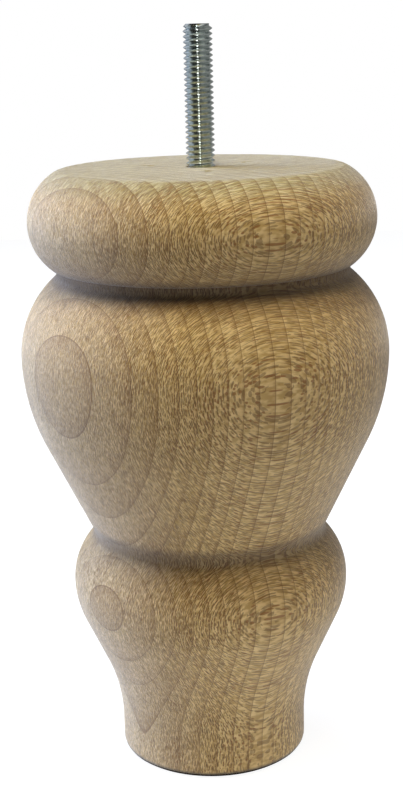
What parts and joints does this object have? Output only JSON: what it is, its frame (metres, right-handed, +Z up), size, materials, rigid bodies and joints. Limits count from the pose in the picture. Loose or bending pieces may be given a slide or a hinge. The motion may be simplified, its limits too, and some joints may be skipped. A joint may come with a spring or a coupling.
{
  "type": "turned wooden furniture leg",
  "caption": "Short turned wooden furniture leg with a round foot, a bulb, a full-bellied vase and a top ring, and a threaded steel stud standing out of its flat top.",
  "frame": {"origin": "centre of the foot's flat underside, on the floor", "axes": "+Z up along the turning axis, out of the threaded stud's end; the leg is round, and +X and +Y only place the three driving prong dents in its top face"},
  "size_m": [0.1036, 0.1036, 0.2095],
  "materials": {
    "beech": "bare sanded beech, matt, pale straw to light tan with fine rings and brown ray flecks",
    "zinc_plated_steel": "bright zinc plating, blue-grey, slightly uneven"
  },
  "bodies": {
    "root": {"turned_leg": "beech", "hanger_bolt": "zinc_plated_steel"}
  },
  "joints": []
}
